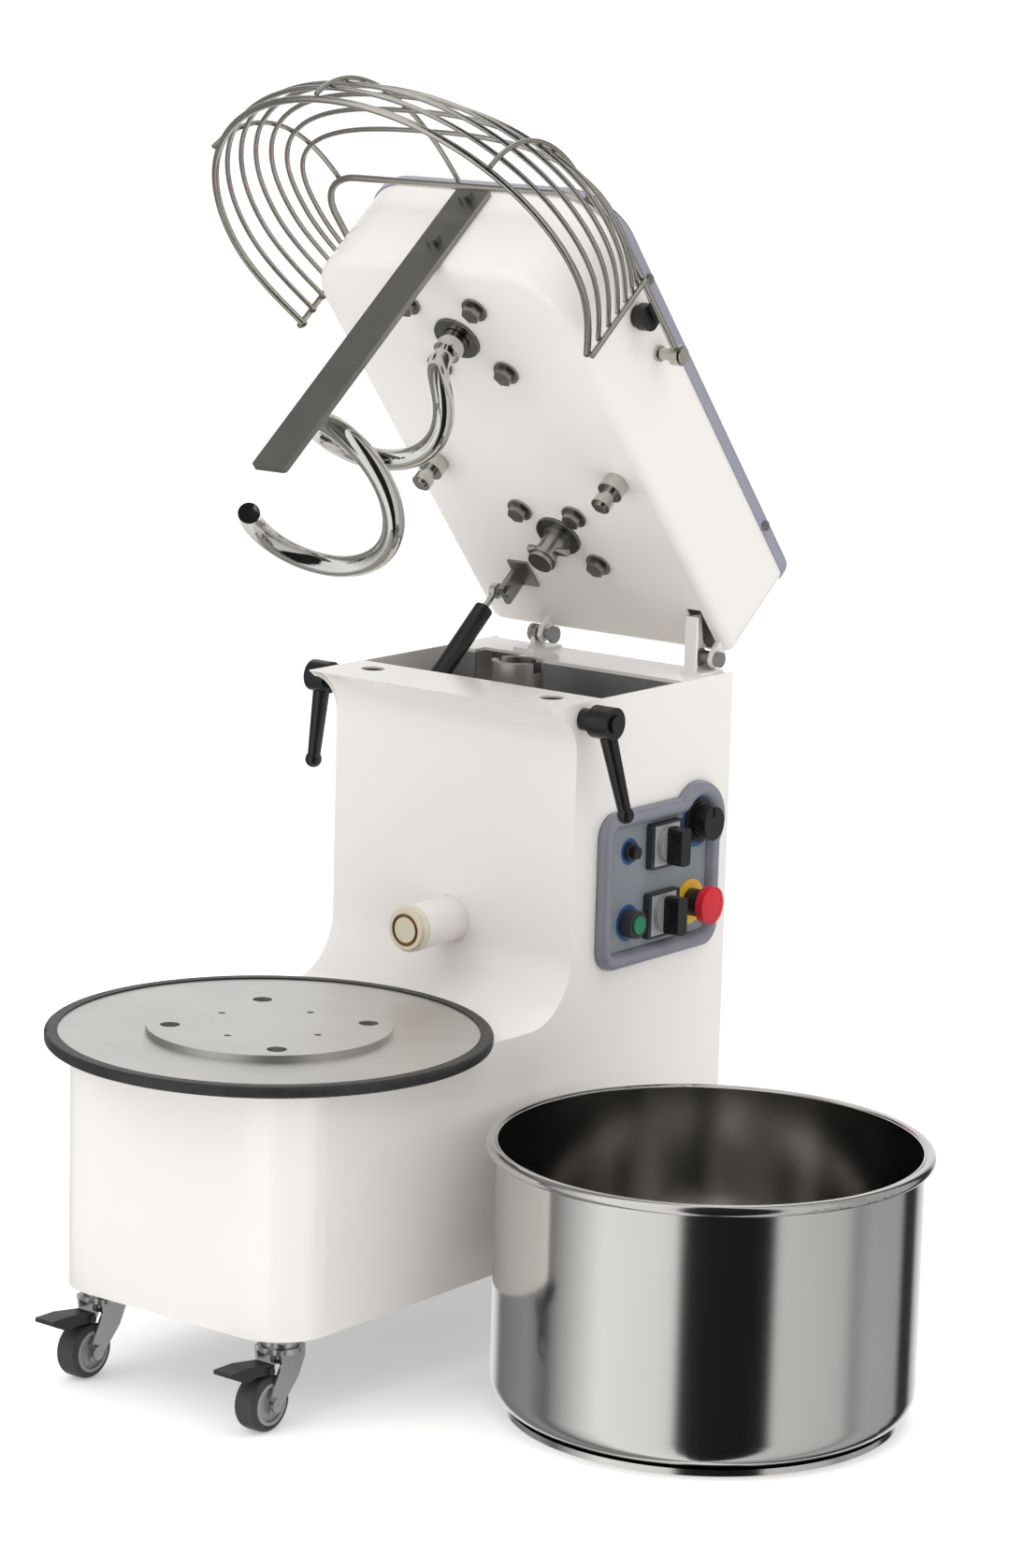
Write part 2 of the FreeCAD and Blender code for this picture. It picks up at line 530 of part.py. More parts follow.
def make_head():
    casing = head_block(0, head_under, head_seam, 10).cut(head_block(sheet, head_under + sheet, head_seam + 5, 8))
    for y in (hook_y, coupling_y):
        casing = casing.cut(rod((0, y, head_under - 5), Z, bearing_nose_r + 0.5, 12))
    casing = casing.cut(box(120, 138, 456, 516, head_under - 5, head_under + 5))
    for x, y in flange_bolt_places():
        casing = casing.cut(rod((x, y, head_under - 5), Z, 4.1, 12))
    for z in bar_bolt_heights:
        casing = casing.cut(rod((0, head_front - 1, z), Y, 4.1, 6))
    ears = []
    for x0, x1 in ((-76.5, -71), (138.5, 144)):
        ear = prism([(500, head_under), (519, head_under), (519, hinge_z), (514, hinge_z - 8),
                     (506, hinge_z - 8), (501, hinge_z)], x0, x1)
        ears.append(ear)
    casing = casing.fuse(ears)
    casing = casing.cut(rod((-80, hinge_y, hinge_z), X, 5.05, 12)).cut(rod((137, hinge_y, hinge_z), X, 5.05, 8))
    add_head("head_casing", casing.removeSplitter())

    lid = head_block(-1.5, head_seam, head_top, 0)
    lid = lid.makeFillet(12, [e for e in lid.Edges if abs(e.CenterOfMass.z - head_top) < 1e-6])
    lid = lid.cut(head_block(0.2, head_seam - 1, head_top - sheet, 0))
    skirt_screws = [(side, y) for side in (-1, 1) for y in (114.0, 448.0)]
    for side, y in skirt_screws:
        lid = lid.cut(rod((side * (head_half - 3), y, head_seam + 6), X * side, 2.6, 8))
    add_head("head_cover", lid)

    fasteners = []
    for side, y in skirt_screws:
        fasteners.append(disc_stack((side * (head_half - 4), y, head_seam + 6), X * side, [(2.5, 5.5), (5, 2.5)]))
    for x, y in flange_bolt_places():
        fasteners.append(ring((x, y, head_under - washer_thick), Z, washer_r, 4, washer_thick))
        fasteners.append(hex_bolt((x, y, head_under - washer_thick), Z * -1, 17, 8, 4, 12))
    for z in bar_bolt_heights:
        fasteners.append(disc_stack((0, head_front + 8, z), Y * -1, [(4, 14), (7.5, 7)]))
    add_head("head_fasteners", *fasteners)

    flanges = []
    for y in (hook_y, coupling_y):
        half = 52 if y == hook_y else 45
        seat_y = y if y == hook_y else y + 2
        unit = rounded_box(-half, half, seat_y - half, seat_y + half, head_under + sheet, head_under + sheet + 6, 12)
        unit = unit.fuse(rod((0, y, head_under - 3), Z, bearing_nose_r, 9)).cut(rod((0, y, 600), Z, 15.05, 100))
        for x, by in flange_bolt_places():
            unit = unit.cut(rod((x, by, head_under - 5), Z, 4, 20))
        flanges.append(unit)
    stiffener = box(-head_half, head_half, 30, 500, head_under + sheet + 40, head_under + sheet + 44)
    stiffener = stiffener.common(head_block(sheet, head_under, head_seam, 0))
    for y in (hook_y, coupling_y):
        stiffener = stiffener.cut(rod((0, y, head_under), Z, 26, 80))
    stiffener = stiffener.cut(box(-head_half, -60, 20, 40, 600, 800)).cut(box(115, 143, 455, 520, 600, 800))
    chain = chain_loop((0, hook_y), 40, (0, coupling_y), 40, head_chain_z + 13, 5, 6)
    add_head("bearing_flanges", *flanges, stiffener, chain)

    latches = []
    for side in (-1, 1):
        latches.append(disc_stack((side * latch_x, latch_y, head_under), Z * -1,
                                  [(13, 15), (6.5, 10), (10, 9), (6, 3)]))
    add_head("latch_pins", *latches)

    bar = box(-20, 20, head_front - 6, head_front, bar_end, head_seam - 3)
    bar = bar.makeFillet(4, [e for e in bar.Edges if abs(e.Length - 6) < 0.01])
    for z in bar_bolt_heights:
        bar = bar.cut(rod((0, head_front - 8, z), Y, 4.1, 12))
    add_head("breaker_bar", bar)
    coupling = disc_stack((0, coupling_y, 623), Z, [(13, 5), (15, 4), (12, 26), (15, 90)])
    drive_pin = rod((-24, coupling_y, 641), X, 4, 48)
    coupling = coupling.fuse(drive_pin).removeSplitter()
    add_head("coupling_shaft", coupling, sprocket((0, coupling_y, head_chain_z + 12), 20, 40, 8, 15))

    pivots = [disc_stack((side * head_half, 184, 749), X * side, [(8, 3), (6, 25.5), (8, 2)]) for side in (-1, 1)]
    add_head("guard_pivots", *pivots)
    add_head("guard_stop", disc_stack((head_half, 131, 744.5), X, [(11, 6), (13.5, 11)]))

    bracket = box(-87, -81, 430, 452, 632, head_under)
    foot = box(-87, -62, 418, 452, head_under - 3, head_under)
    pin = disc_stack((spring_x + 3.9, 441, 638), X, [(4, 13.1), (7, 4)])    # stops just short of the spring's eye
    add_head("spring_bracket", bracket.fuse([foot, pin]).removeSplitter())


# ---- spiral hook ---------------------------------------------------------------------------------------------------
def smooth(t):
    t = max(0.0, min(1.0, t))
    return t * t * (3 - 2 * t)


def hook_point(t):
    """The hook's centre line: from the shaft out to its working radius, then down and round."""
    reach = hook_reach * smooth(t / 0.34)
    angle = radians(72 - 648 * t)
    drop = hook_depth * (0.12 * t + 0.88 * (t + 0.12 * sin(pi * t)))
    return (reach * cos(angle), hook_y - reach * sin(angle), head_under - 20 - drop)


def make_hook():
    shaft = disc_stack((0, hook_y, head_under - 22), Z, [(14, 22), (15, 90)])
    count = 34
    points = [hook_point(i / count) for i in range(count + 1)]
    bar = wire_through(points, hook_bar)
    end = Part.makeSphere(hook_bar, Vec(*points[0]))
    add_head("spiral_hook", shaft.fuse([bar, end]).removeSplitter(),
             sprocket((0, hook_y, head_chain_z + 12), 20, 40, 8, 15))


# ---- wire guard ----------------------------------------------------------------------------------------------------
guard_end_y, guard_end_x = 86.0, 174.0


def hoop_points(t, steps=14):
    """One hoop: t = 0 is the lowest and widest, t = 1 is the frame round the head."""
    a = t * pi / 2
    z = 645 + 104 * sin(a)
    front = -18 - 196 * cos(a)
    half = 207 - 33 * (1 - cos(a))
    widest = -20 + 60 * (1 - cos(a))
    end_x = guard_end_x - 1 if t == 0 else guard_end_x
    squareness = 1 - 0.45 * (1 - cos(a))
    right = []
    for i in range(steps + 1):
        angle = pi / 2 * i / steps
        right.append((half * sin(angle) ** squareness, widest - (widest - front) * cos(angle) ** squareness, z))
    for i in range(1, 6):
        y = widest + (guard_end_y - widest) * i / 5
        right.append((end_x + (half - end_x) * cos(pi / 2 * i / 5), y, z))
    left = [(-x, y, z) for x, y, z in right[:0:-1]]
    return left + right


def rib_point(share, t):
    """A point of a cross rib, which lies on the outside of the hoops."""
    lift = 6.0 if t in (0, 1) else 5.0
    row = hoop_points(t)
    x, y, z = row[len(row) // 2 + int(round(share * 14))]
    a = t * pi / 2
    outward = Vec(x, y + 20, 0)
    outward.normalize()
    normal = outward * (cos(a) / 196) + Vec(0, 0, sin(a) / 104)
    normal.normalize()
    return (x + normal.x * lift, y + normal.y * lift, z + normal.z * lift)


def make_guard():
    hoops = [wire_through(hoop_points(i / 8), 3.5 if i == 0 else 2.5) for i in range(7)]
    add_head("guard_hoops", *hoops)
    frame_half, frame_z, frame_front, corner = 176.0, 749.0, -18.0, 52.0
    a, b = Vec(-frame_half, 177, frame_z), Vec(-frame_half, frame_front + corner, frame_z)
    c, d = Vec(-frame_half + corner, frame_front, frame_z), Vec(frame_half - corner, frame_front, frame_z)
    e, f = Vec(frame_half, frame_front + corner, frame_z), Vec(frame_half, 177, frame_z)
    k = corner * (1 - sqrt(0.5))
    path = Part.Wire([Part.LineSegment(a, b).toShape(),
                      Part.Arc(b, Vec(-frame_half + k, frame_front + k, frame_z), c).toShape(),
                      Part.LineSegment(c, d).toShape(),
                      Part.Arc(d, Vec(frame_half - k, frame_front + k, frame_z), e).toShape(),
                      Part.LineSegment(e, f).toShape()])
    frame = path.makePipeShell([Part.Wire(Part.makeCircle(3.5, a, Y))], True, True)
    joined = []
    for side in (-1, 1):
        joined.append(ring((side * (frame_half - 5), 184, frame_z), X * side, 10, 6.05, 10))
        bar_x = side * (guard_end_x + 5.5)
        joined.append(straight_wire((bar_x, guard_end_y, 643), (bar_x, guard_end_y, frame_z), 3))
    pieces = [frame.fuse(joined).removeSplitter()]
    for share in (-0.56, 0.0, 0.56):
        rib = [rib_point(share, i / 8) for i in range(9)]
        pieces.append(wire_through(rib, 2.5))
    add_head("guard_frame", *pieces)


# ---- gas spring ------------------------------------------------------------------------------------------------------


def make_gas_spring():
    head_eye = Vec(spring_x, 441, 638)
    lifted = swing_open(Part.Vertex(head_eye)).Point
    foot = Vec(spring_x, *spring_foot)
    along = (lifted - foot)
    length = along.Length
    along.normalize()
    body = Part.makeCylinder(10, spring_body - 26, lifted - along * spring_body, along)
    neck = Part.makeCylinder(3.4, 28, lifted - along * 28, along)
    eye = rod((spring_x - 3.5, lifted.y, lifted.z), X, 8, 7)
    bore = Part.makeCylinder(4.06, spring_body - 30, lifted - along * (spring_body + 1), along)
    cylinder = body.fuse([neck, eye]).cut(bore).cut(rod((spring_x - 10, lifted.y, lifted.z), X, 4.05, 20))
    add("gas_spring_cylinder", cylinder.removeSplitter())
    piston_rod = Part.makeCylinder(4, length - 86, foot + along * 6, along)
    eye = rod((spring_x - 3.5, foot.y, foot.z), X, 8, 7)
    add("gas_spring_rod", eye.fuse(piston_rod).cut(rod((spring_x - 10, foot.y, foot.z), X, 4.05, 20)).removeSplitter())


# ---- bowl --------------------------------------------------------------------------------------------------------------
def make_bowl():
    r, h, w, knuckle = bowl_r, bowl_h, bowl_wall, 26.0
    foot_h = 6.0

    def profile(radius, low, top, bend):
        k = bend * (1 - sqrt(0.5))
        return [Part.LineSegment(Vec(0, 0, low), Vec(radius - bend, 0, low)).toShape(),
                Part.Arc(Vec(radius - bend, 0, low), Vec(radius - k, 0, low + k), Vec(radius, 0, low + bend)).toShape(),
                Part.LineSegment(Vec(radius, 0, low + bend), Vec(radius, 0, top)).toShape(),
                Part.LineSegment(Vec(radius, 0, top), Vec(0, 0, top)).toShape(),
                Part.LineSegment(Vec(0, 0, top), Vec(0, 0, low)).toShape()]

    outer = Part.Face(Part.Wire(profile(r, foot_h, h - 2, knuckle))).revolve(Vec(0, 0, 0), Z, 360)
    inner = Part.Face(Part.Wire(profile(r - w, foot_h + w, h + 10, knuckle - w))).revolve(Vec(0, 0, 0), Z, 360)
    shell = outer.cut(inner)
    bead = Part.makeTorus(r + rim_bead - 1, rim_bead, Vec(0, 0, h - rim_bead), Z)
    shell = shell.fuse(bead).cut(rod((0, 0, h - 20), Z, r - w, 40)).removeSplitter()
    shell.translate(Vec(bowl_x, bowl_y, 0))
    add("bowl_shell", shell)
    foot = ring((bowl_x, bowl_y, 0), Z, r - 14, r - 34, foot_h)
    pins = []
    for angle in (45, 135, 225, 315):
        at = (bowl_x + 94 * cos(radians(angle)), bowl_y + 94 * sin(radians(angle)), 0.5)
        pins.append(rod(at, Z, 8, foot_h - 0.5))
    add("bowl_foot", foot, *pins)


make_casing()
make_hinge()
make_castors()
make_turntable()
make_drive()
make_fittings()
make_controls()
make_clamps()
make_head()
make_hook()
make_guard()
make_gas_spring()
make_bowl()

os.makedirs("parts", exist_ok=True)
whole = FreeCAD.BoundBox()
for name, shapes in parts.items():
    solids = []
    for shape in shapes:
        moved = shape.copy()
        moved.translate(shift)
        solids.extend(moved.Solids)
        if not moved.isValid() or not moved.Solids:
            print("CHECK", name, "valid", moved.isValid(), "solids", len(moved.Solids))
    result = solids[0] if len(solids) == 1 else Part.makeCompound(solids)
    result.exportStep(os.path.join("parts", name + ".step"))
    whole.add(result.BoundBox)
print(len(parts), "nodes", whole)
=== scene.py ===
"""Spiral dough mixer with its head raised and its bowl standing beside it."""
import bmesh
import bpy
import json
from math import acos, asin, cos, degrees, pi, radians, sin
from mathutils import Matrix, Vector


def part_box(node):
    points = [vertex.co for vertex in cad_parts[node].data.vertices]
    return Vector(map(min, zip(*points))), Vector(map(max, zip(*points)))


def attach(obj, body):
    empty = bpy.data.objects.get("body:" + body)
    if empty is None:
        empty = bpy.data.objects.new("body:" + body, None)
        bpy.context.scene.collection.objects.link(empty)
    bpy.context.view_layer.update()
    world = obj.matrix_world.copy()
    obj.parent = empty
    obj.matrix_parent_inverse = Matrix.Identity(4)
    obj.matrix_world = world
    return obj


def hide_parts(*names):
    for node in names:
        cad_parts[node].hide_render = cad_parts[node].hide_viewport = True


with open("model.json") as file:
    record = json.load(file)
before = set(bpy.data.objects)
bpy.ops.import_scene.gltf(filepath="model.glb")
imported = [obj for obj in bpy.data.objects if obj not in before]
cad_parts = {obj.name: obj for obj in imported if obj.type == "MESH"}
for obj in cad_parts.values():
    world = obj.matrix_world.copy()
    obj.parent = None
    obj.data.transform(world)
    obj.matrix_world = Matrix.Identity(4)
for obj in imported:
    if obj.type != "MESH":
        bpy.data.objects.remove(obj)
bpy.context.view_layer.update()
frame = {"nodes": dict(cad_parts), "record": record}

# ---- The viewpoint -------------------------------------------------------------------------------------
# A long lens a little above the machine's middle, off its front right corner, leaning by a degree or so.
view_target = Vector((-0.1933, 0.1554, 0.5204))
view_azimuth, view_height, view_roll = radians(37.604), radians(11.332), radians(1.52)
view_distance = 4.4299
towards_camera = Vector((sin(view_azimuth) * cos(view_height), -cos(view_azimuth) * cos(view_height),
                         sin(view_height)))
sideways = Vector((cos(view_azimuth), sin(view_azimuth), 0))
upwards = towards_camera.cross(sideways)
camera_data = bpy.data.cameras.new("camera")
camera_data.sensor_width = 36
camera_data.lens = 101.49
camera_data.clip_end = 60
camera = bpy.data.objects.new("camera", camera_data)
bpy.context.collection.objects.link(camera)
turn = Matrix((sideways, upwards, towards_camera)).transposed() @ Matrix.Rotation(view_roll, 3, "Z")
camera.matrix_world = Matrix.Translation(view_target + towards_camera * view_distance) @ turn.to_4x4()
bpy.context.scene.camera = camera


# ---- Shader expressions ------------------------------------------------------------------------------------
# One wrapped socket: sums and products of sockets and numbers add their own Math nodes.
class Signal:
    def __init__(self, finish, socket):
        self.finish = finish
        self.socket = socket

    def maths(self, operation, first, second):
        return self.finish.node("ShaderNodeMath", {"operation": operation}, {0: first, 1: second})

    def __add__(self, other):
        return self.maths("ADD", self, other)

    def __sub__(self, other):
        return self.maths("SUBTRACT", self, other)

    def __rsub__(self, other):
        return self.maths("SUBTRACT", other, self)

    def __mul__(self, other):
        return self.maths("MULTIPLY", self, other)

    def __truediv__(self, other):
        return self.maths("DIVIDE", self, other)

    def __rtruediv__(self, other):
        return self.maths("DIVIDE", other, self)

    def __pow__(self, other):
        return self.maths("POWER", self, other)

    def __gt__(self, other):
        return self.maths("GREATER_THAN", self, other)

    def __lt__(self, other):
        return self.maths("LESS_THAN", self, other)

    __radd__ = __add__
    __rmul__ = __mul__


class Finish:
    """A material: a Principled shader whose sockets take numbers or Signals."""

    def __init__(self, name, **fixed):
        self.material = bpy.data.materials.new(name)
        self.material.use_nodes = True
        self.tree = self.material.node_tree
        self.shader = self.tree.nodes["Principled BSDF"]
        self.set(self.shader, fixed)

    def set(self, node, sockets):
        for key, value in sockets.items():
            key = key.replace("_", " ") if isinstance(key, str) else key
            if isinstance(value, Signal):
                self.tree.links.new(value.socket, node.inputs[key])
            elif isinstance(value, tuple) and len(value) == 3 and node.inputs[key].type == "RGBA":
                node.inputs[key].default_value = (*value, 1)
            else:
                node.inputs[key].default_value = value

    def node(self, kind, settings=None, sockets=None, out=0):
        node = self.tree.nodes.new(kind)
        for key, value in (settings or {}).items():
            if key == "stops":
                ramp = node.color_ramp
                while len(ramp.elements) < len(value):
                    ramp.elements.new(0.5)
                for element, (place, colour) in zip(ramp.elements, value):
                    element.position = place
                    element.color = (*colour, 1) if isinstance(colour, tuple) else (colour, colour, colour, 1)
            else:
                setattr(node, key, value)
        self.set(node, sockets or {})
        return Signal(self, node.outputs[out])

    def place(self, stretch=(1, 1, 1), centre=(0, 0, 0)):
        """Position on the piece in metres, moved to a centre and then stretched."""
        here = self.node("ShaderNodeTexCoord", out="Object")
        moved = self.node("ShaderNodeVectorMath", {"operation": "SUBTRACT"}, {0: here, 1: centre})
        return self.node("ShaderNodeVectorMath", {"operation": "MULTIPLY"}, {0: moved, 1: stretch})

    def noise(self, scale, detail=2.0, where=None):
        where = where or self.place()
        return self.node("ShaderNodeTexNoise", None, {"Vector": where, "Scale": scale, "Detail": detail})

    def mix(self, amount, first, second):
        return self.node("ShaderNodeMix", {"data_type": "RGBA"}, {0: amount, 6: first, 7: second}, out=2)

    def bump(self, height, depth, strength=1.0):
        """Raises the surface by a height signal, depth in metres."""
        normal = self.node("ShaderNodeBump", None, {"Height": height, "Distance": depth, "Strength": strength})
        self.set(self.shader, {"Normal": normal})


def cover(finish, *nodes):
    """Gives CAD nodes a material."""
    for node in nodes:
        for holder in frame["nodes"][node].material_slots:
            holder.material = finish.material


def ease(width, *nodes, segments=2):
    """Rounds the sharp edges of CAD nodes a little, as folding and moulding do."""
    for node in nodes:
        edge = frame["nodes"][node].modifiers.new("edge", "BEVEL")
        edge.width = width
        edge.segments = segments
        edge.limit_method = "ANGLE"
        edge.angle_limit = radians(40)
        edge.harden_normals = True


# ---- Floor and light ------------------------------------------------------------------------------------------
# A white studio: pale floor, even daylight and two large soft lights. Polished steel sees tall bright
# panels with dark gaps between them instead of the floor, so it shows upright bands.
floor_mesh = bpy.data.meshes.new("floor")
floor_shape = bmesh.new()
bmesh.ops.create_circle(floor_shape, cap_ends=True, segments=96, radius=40)
floor_shape.to_mesh(floor_mesh)
floor_shape.free()
floor = bpy.data.objects.new("floor", floor_mesh)
bpy.context.collection.objects.link(floor)
floor.location.z = -0.0005
floor.visible_glossy = False
pale = Finish("pale_floor", Base_Color=(0.95, 0.95, 0.95), Roughness=0.9, Specular_IOR_Level=0.0,
              Emission_Color=(1.0, 0.99, 0.98), Emission_Strength=0.33)
floor_mesh.materials.append(pale.material)

for name, place, size, power in (("key", (-1.6, -3.2, 3.4), 2.4, 27), ("top", (0.4, 0.2, 4.2), 3.6, 66)):
    light_data = bpy.data.lights.new(name, "AREA")
    light_data.size = size
    light_data.energy = power
    light = bpy.data.objects.new(name, light_data)
    bpy.context.collection.objects.link(light)
    light.location = place
    light.rotation_euler = (Vector(place) - Vector((0, 0, 0.5))).to_track_quat("Z", "Y").to_euler()
    light.visible_glossy = False

world = bpy.data.worlds.new("studio")
bpy.context.scene.world = world
world.use_nodes = True
sky = world.node_tree
sky.nodes.clear()


def sky_node(kind, settings=None, sockets=None):
    node = sky.nodes.new(kind)
    for key, value in (settings or {}).items():
        setattr(node, key, value)
    for key, value in (sockets or {}).items():
        if isinstance(value, bpy.types.NodeSocket):
            sky.links.new(value, node.inputs[key])
        else:
            node.inputs[key].default_value = value
    return node


# levels of the panels by angle round the machine, 0 towards the viewpoint and positive to its right
panels = ((-180, 0.95), (-158, 0.85), (-146, 0.2), (-112, 0.35), (-96, 0.16), (-84, 0.5), (-60, 1.1), (-19, 0.95),
          (-15, 0.02), (32, 0.012), (36, 0.75), (76, 0.62), (84, 0.35), (96, 0.5), (122, 0.45), (128, 0.03),
          (142, 0.04), (148, 0.6), (160, 0.95), (180, 0.95))
direction = sky_node("ShaderNodeTexCoord").outputs["Generated"]
split = sky_node("ShaderNodeSeparateXYZ", None, {0: direction})
away = sky_node("ShaderNodeMath", {"operation": "MULTIPLY"}, {0: split.outputs[1], 1: -1.0})
around = sky_node("ShaderNodeMath", {"operation": "ARCTAN2"}, {0: split.outputs[0], 1: away.outputs[0]})
turned_by = sky_node("ShaderNodeMath", {"operation": "MULTIPLY_ADD"},
                     {0: around.outputs[0], 1: 1 / (2 * pi), 2: 0.5 - view_azimuth / (2 * pi)})
share = sky_node("ShaderNodeMath", {"operation": "FRACT"}, {0: turned_by.outputs[0]})
bands = sky_node("ShaderNodeValToRGB", None, {0: share.outputs[0]})
for angle, level in panels[2:]:
    bands.color_ramp.elements.new(0.5)
for element, (angle, level) in zip(bands.color_ramp.elements, panels):
    element.position = angle / 360 + 0.5
    element.color = (level, level, level, 1)
path = sky_node("ShaderNodeLightPath")
banded = sky_node("ShaderNodeBackground", None, {"Color": bands.outputs[0], "Strength": 1.0})
even = sky_node("ShaderNodeBackground", None, {"Color": (1, 1, 1, 1), "Strength": 0.86})
plain = sky_node("ShaderNodeBackground", None, {"Color": (1, 1, 1, 1), "Strength": 1.1})
lit = sky_node("ShaderNodeMixShader", None, {0: path.outputs["Is Glossy Ray"], 1: even.outputs[0],
                                             2: banded.outputs[0]})
seen = sky_node("ShaderNodeMixShader", None, {0: path.outputs["Is Camera Ray"], 1: lit.outputs[0],
                                              2: plain.outputs[0]})
sky_node("ShaderNodeOutputWorld", None, {0: seen.outputs[0]})
bpy.context.scene.view_settings.view_transform = "Standard"


# ---- White sheet casing ---------------------------------------------------------------------------------------
# Folded steel sheet with a warm white powder coat: the column with its side panels, deck, base wrap,
# rear cover and the tilting head's tray. The coat has a faint orange-peel skin. The hinge pins are left
# bare and show the steel. The lip inside the column's mouth is coloured as dark bare steel: painted shade.
def powder_coat(name, bare_steel_and_painted_shade=None):
    coat = Finish(name, Specular_IOR_Level=0.55)
    cloud = coat.noise(2.5, 2)
    colour = coat.mix(cloud, (0.815, 0.78, 0.75), (0.845, 0.812, 0.783))
    rough = cloud * 0.05 + 0.16
    # Mask of bare steel: real for the hinge pins, painted shade for the lip inside the column's mouth
    if bare_steel_and_painted_shade:
        steel = bare_steel_and_painted_shade(coat)
        grain = coat.noise(90, 4)
        colour = coat.mix(steel, colour, coat.mix(grain, (0.30, 0.30, 0.305), (0.40, 0.40, 0.405)))
        rough = rough + steel * (grain * 0.15 + 0.15)
        coat.set(coat.shader, {"Metallic": steel * 0.8})
    coat.set(coat.shader, {"Base Color": colour, "Roughness": rough})
    coat.bump(coat.noise(520, 1.5), 0.000008)
    return coat


def axis_of(finish, centre, plane=(1, 1, 1)):
    """Distance in metres from a point, or from the axis through it where the plane leaves one direction out."""
    spot = finish.place(plane, centre)
    return finish.node("ShaderNodeVectorMath", {"operation": "LENGTH"}, {0: spot}, out="Value")


def coordinate(finish, axis):
    """One coordinate of the position on the piece, in metres."""
    return finish.node("ShaderNodeSeparateXYZ", None, {0: finish.place()}, out=axis)


cover(powder_coat("white_powder_coat"), "side_panel_left", "side_panel_right", "front_skin", "base_front_wrap",
      "rear_cover", "head_casing", "bumper_tube")
ease(0.0011, "side_panel_left", "side_panel_right", "front_skin", "rear_deck", "rear_cover")
deck_low, deck_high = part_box("rear_deck")
# Painted shade: the lip facing into the column's mouth, below its top edge, is coloured as dark steel in place of the
# shadow inside the column
cover(powder_coat("white_coat_painted_shade_lip", lambda coat: (coordinate(coat, "Y") < deck_low[1] + 0.004)
                  * (coordinate(coat, "Z") < deck_high[2] - 0.0035)), "rear_deck")

# ---- Hinge -----------------------------------------------------------------------------------------------------
# Two brackets bolted to the rear deck in the casing's white, with bare steel pins through the head's ears.
hinge = next(joint for joint in frame["record"]["behaviour"]["joints"] if joint["name"] == "head_tilt")
pin_radius = 0.0095
cover(powder_coat("white_coat_bare_pins", lambda coat: axis_of(coat, hinge["pos_m"], (0, 1, 1)) < pin_radius),
      "hinge_brackets")

# ---- Galvanised and oiled steel inside ---------------------------------------------------------------------
# Bottom plate, cross plates, shafts, chains and bearings are seen only through the open top and from below.
zinc = Finish("galvanised_sheet", Metallic=0.9)
spangle = zinc.node("ShaderNodeTexVoronoi", None, {"Vector": zinc.place(), "Scale": 90}, out="Color")
zinc.set(zinc.shader, {"Base Color": zinc.mix(spangle, (0.30, 0.305, 0.31), (0.42, 0.425, 0.43)),
                       "Roughness": zinc.noise(60) * 0.2 + 0.35})
cover(zinc, "bottom_plate", "drive_brackets")
turned = Finish("turned_steel", Metallic=1.0)
turned.set(turned.shader, {"Base Color": turned.mix(turned.noise(40), (0.36, 0.35, 0.34), (0.5, 0.49, 0.47)),
                           "Roughness": turned.noise(700, 1, turned.place((1, 1, 9))) * 0.25 + 0.2})
cover(turned, "column_shaft", "coupling_shaft", "turntable_shaft", "motor_sprocket")
oiled = Finish("oiled_steel", Metallic=0.9)
oiled.set(oiled.shader, {"Base Color": oiled.mix(oiled.noise(120), (0.08, 0.075, 0.07), (0.2, 0.19, 0.18)),
                         "Roughness": oiled.noise(300) * 0.3 + 0.25})
cover(oiled, "drive_chains")
iron = Finish("painted_iron", Metallic=0.2)
iron.set(iron.shader, {"Base Color": iron.mix(iron.noise(50), (0.05, 0.055, 0.065), (0.10, 0.11, 0.12)),
                       "Roughness": iron.noise(400) * 0.3 + 0.4})
iron.bump(iron.noise(900, 3), 0.0002)
cover(iron, "gearmotor", "shaft_bearings")
flange = Finish("ground_flange_steel", Metallic=1.0)
flange.set(flange.shader, {"Base Color": flange.mix(flange.noise(160, 3), (0.13, 0.125, 0.12), (0.34, 0.33, 0.32)),
                           "Roughness": flange.noise(300) * 0.2 + 0.2})
cover(flange, "bearing_flanges")

# ---- Head cover ----------------------------------------------------------------------------------------------------
# A shallow lid in lavender-grey paint over the white tray, held by four small screws.
lid = Finish("lavender_grey_paint", Specular_IOR_Level=0.5)
lid.set(lid.shader, {"Base Color": lid.mix(lid.noise(4, 2), (0.27, 0.275, 0.335), (0.295, 0.30, 0.36)),
                     "Roughness": lid.noise(30) * 0.08 + 0.24})
lid.bump(lid.noise(520, 1.5), 0.000006)
cover(lid, "head_cover")

# ---- Breaker bar, latch pins and bolts ------------------------------------------------------------------------------
# The bar is flat ground stock with its grain along it. Bolts, washers and the two latch pins are turned
# from bar, a shade darker where oil has dried on them; the guard turns on two bright bushes.
brushed = Finish("brushed_stainless", Metallic=1.0)
grain = brushed.noise(900, 2, brushed.place((3, 0.4, 0.4)))
brushed.set(brushed.shader, {"Base Color": brushed.mix(brushed.noise(25, 3), (0.27, 0.265, 0.245), (0.37, 0.365, 0.34)),
                             "Roughness": grain * 0.16 + 0.3})
brushed.bump(grain, 0.00003)
cover(brushed, "breaker_bar", "spring_bracket")
bright = Finish("bright_turned_steel", Metallic=1.0)
bright.set(bright.shader, {"Base Color": bright.mix(bright.noise(35, 3), (0.5, 0.49, 0.45), (0.64, 0.63, 0.59)),
                           "Roughness": bright.noise(500) * 0.15 + 0.14})
bright.bump(bright.noise(260, 2), 0.00006)
cover(bright, "latch_pins", "guard_pivots")
dull = Finish("dull_zinc", Metallic=1.0)
dull.set(dull.shader, {"Base Color": dull.mix(dull.noise(140, 3), (0.24, 0.235, 0.21), (0.42, 0.41, 0.38)),
                       "Roughness": dull.noise(400) * 0.2 + 0.24})
dull.bump(dull.noise(600, 2), 0.00005)
cover(dull, "head_fasteners")
ease(0.0006, "latch_pins", "head_fasteners", "breaker_bar", "hinge_brackets", "spring_bracket", "guard_pivots")

